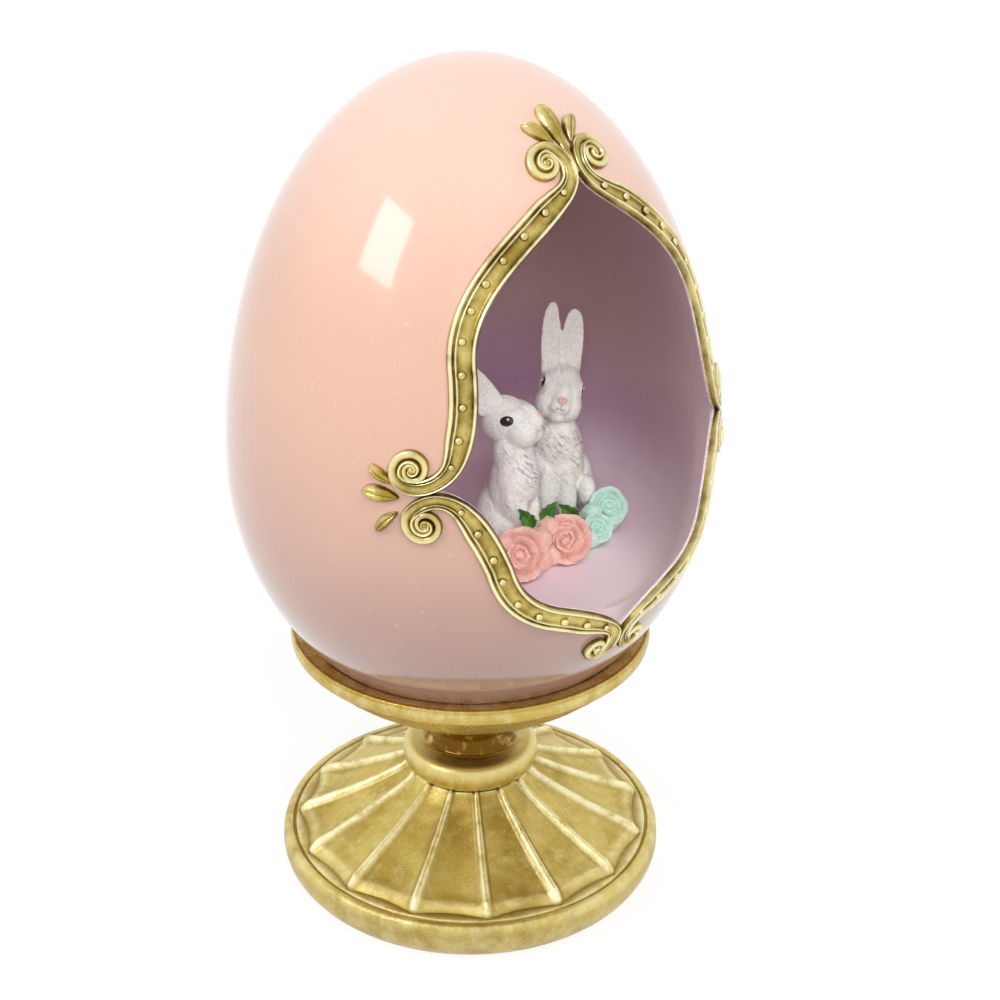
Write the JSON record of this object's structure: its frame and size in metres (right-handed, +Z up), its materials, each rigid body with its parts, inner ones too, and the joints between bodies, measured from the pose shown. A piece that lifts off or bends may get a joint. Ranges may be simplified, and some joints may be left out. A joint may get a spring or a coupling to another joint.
{
  "type": "easter egg ornament on stand",
  "caption": "Hollow ornament egg with a scrolled border round its front opening and a rabbit group inside, seated in a cup on a spool stem and a fluted round foot.",
  "frame": {"origin": "middle of the foot's underside, on the table", "axes": "+Z up along the egg's axis, -Y out of the opening towards the viewer, +X to the right of the opening seen from the front"},
  "size_m": [0.096, 0.096, 0.1735],
  "materials": {
    "satin_gold": "satin gold paint with a fine metallic grain over cast resin",
    "bright_gold": "bright pale gold plating over cast resin",
    "egg_paint": "glossy peach pink lacquer outside, satin lilac paint inside, over cast resin",
    "white_paint": "white paint with a grey wash over cast resin",
    "pink_paint": "pink satin paint over cast resin",
    "mint_paint": "mint satin paint over cast resin",
    "green_paint": "dark green paint over cast resin",
    "felt": "brown felt"
  },
  "bodies": {
    "root": {"base_foot": "satin_gold", "felt_pad": "felt", "stem_spool": "bright_gold", "egg_cup": "satin_gold", "egg_shell": "egg_paint", "trim_upper_left": "bright_gold", "trim_upper_right": "bright_gold", "trim_lower_left": "bright_gold", "trim_lower_right": "bright_gold", "leaf_left_lower": "bright_gold", "leaf_left_centre": "bright_gold", "leaf_left_upper": "bright_gold", "leaf_right_lower": "bright_gold", "leaf_right_centre": "bright_gold", "leaf_right_upper": "bright_gold", "leaf_top_left": "bright_gold", "leaf_top_centre": "bright_gold", "leaf_top_right": "bright_gold", "rabbit_small": "white_paint", "rabbit_tall": "white_paint", "rose_pink_left": "pink_paint", "rose_pink_right": "pink_paint", "rose_mint_front": "mint_paint", "rose_mint_back": "mint_paint", "green_leaf_left": "green_paint", "green_leaf_middle": "green_paint", "green_leaf_right": "green_paint"}
  },
  "joints": []
}
